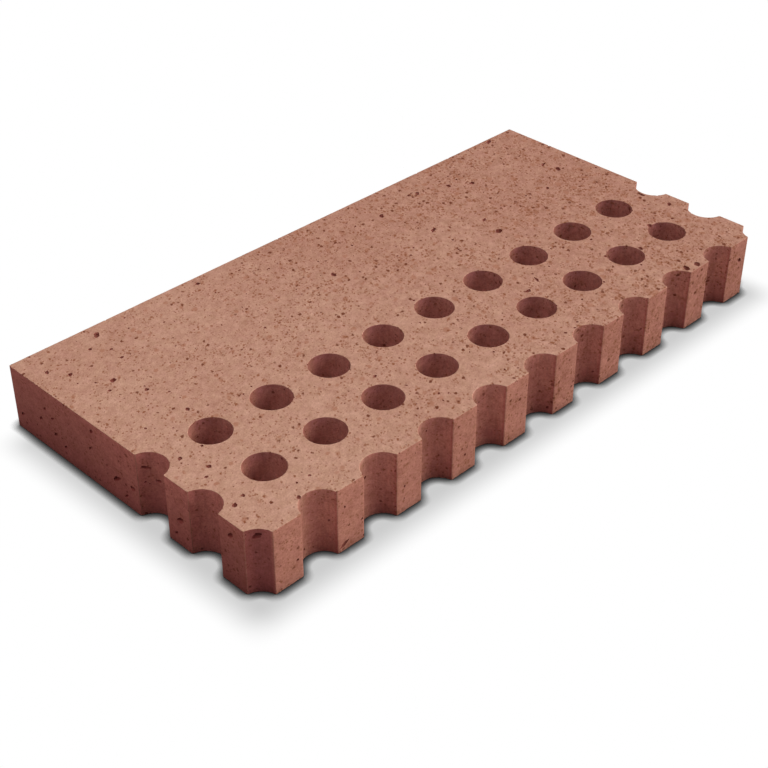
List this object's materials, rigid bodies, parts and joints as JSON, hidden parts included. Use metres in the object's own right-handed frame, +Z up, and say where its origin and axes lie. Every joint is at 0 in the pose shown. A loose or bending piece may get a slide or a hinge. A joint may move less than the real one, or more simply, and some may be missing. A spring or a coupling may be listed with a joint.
{
  "type": "terracotta border tile",
  "caption": "Flat fired-clay border tile: one half plain, the other pierced by a square grid of round holes that runs out as half-round notches along three edges.",
  "frame": {"origin": "middle of the underside, under the centre of the tile's box", "axes": "+X along the border, +Y from the notched edge towards the plain edge, +Z up through the thickness"},
  "size_m": [0.595, 0.295, 0.058],
  "materials": {
    "terracotta": "matte"
  },
  "bodies": {
    "root": {"border_tile": "terracotta"}
  },
  "joints": []
}
